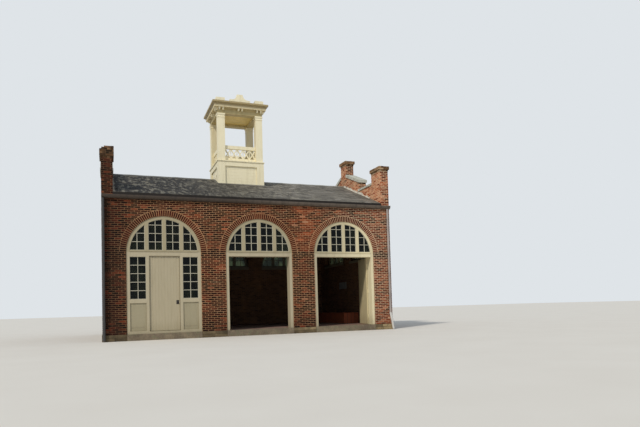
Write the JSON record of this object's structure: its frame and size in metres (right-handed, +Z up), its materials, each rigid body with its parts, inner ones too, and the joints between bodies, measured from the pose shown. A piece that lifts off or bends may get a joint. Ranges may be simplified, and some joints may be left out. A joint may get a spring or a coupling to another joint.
{
  "type": "fire station building",
  "caption": "Small brick fire station with arched engine bays, a boarded entry door, slate gable roof between stepped parapets, and an open timber cupola.",
  "frame": {"origin": "on the ground under the middle of the plan: the lowest point of the stone base is Z 0", "axes": "+Z up, the front wall with the arched bays faces -Y, +X runs along the front wall towards the right-hand bay"},
  "size_m": [10.93, 7.62, 9.93],
  "materials": {
    "base_stone": "rough",
    "floor": "worn",
    "sill_stone": "worn",
    "brick_front": "rough",
    "arch_brick": "rough",
    "brick_rear": "rough",
    "brick_gable": "rough",
    "cap_brick": "rough",
    "coping_stone": "weathered",
    "slate": "weathered",
    "gutter_metal": "weathered",
    "pipe_metal": "weathered",
    "cream_frame": "painted",
    "glass": "clear",
    "door_boards": "painted",
    "iron": "matt",
    "cupola_paint": "painted",
    "bench_wood": "worn",
    "plate_metal": "matt"
  },
  "bodies": {
    "building": {"stone_base": "base_stone", "floor_slab": "floor", "thresholds": "sill_stone", "front_piers": "brick_front", "front_spandrel": "brick_front", "front_arch_rings": "arch_brick", "rear_wall": "brick_rear", "gable_left": "brick_gable", "gable_right": "brick_gable", "lunette_rings": "arch_brick", "pier_caps": "cap_brick", "copings": "coping_stone", "roof_front": "slate", "roof_rear": "slate", "gutters": "gutter_metal", "downspouts": "pipe_metal", "front_fanlights": "cream_frame", "front_fanlight_glass": "glass", "front_transoms": "cream_frame", "lunette_frames": "cream_frame", "lunette_glass": "glass", "lunette_sills": "cream_frame", "jamb_linings": "cream_frame", "entry_frame": "cream_frame", "sidelight_glass": "glass", "cupola_base": "cupola_paint", "cupola_ledge": "cupola_paint", "cupola_posts": "cupola_paint", "cupola_railings": "cupola_paint", "cupola_beam": "cupola_paint", "cupola_brackets": "cupola_paint", "cupola_cornice": "cupola_paint", "cupola_blocks": "cupola_paint", "bench": "bench_wood", "wall_plate": "plate_metal"},
    "entry_leaf": {"entry_door": "door_boards", "entry_latch": "iron"},
    "engine_leaf": {"bay_leaf": "door_boards"}
  },
  "joints": [
    {"name": "entry_hinge", "type": "hinge", "parent": "building", "child": "entry_leaf", "pos_m": [-3.897, -3.54, 1.56], "axis": [0, 0, 1], "range_deg": [0, 95]},
    {"name": "engine_leaf_hinge", "type": "hinge", "parent": "building", "child": "engine_leaf", "pos_m": [4.527, -3.3, 1.56], "axis": [0, 0, 1], "range_deg": [0, 99]}
  ]
}
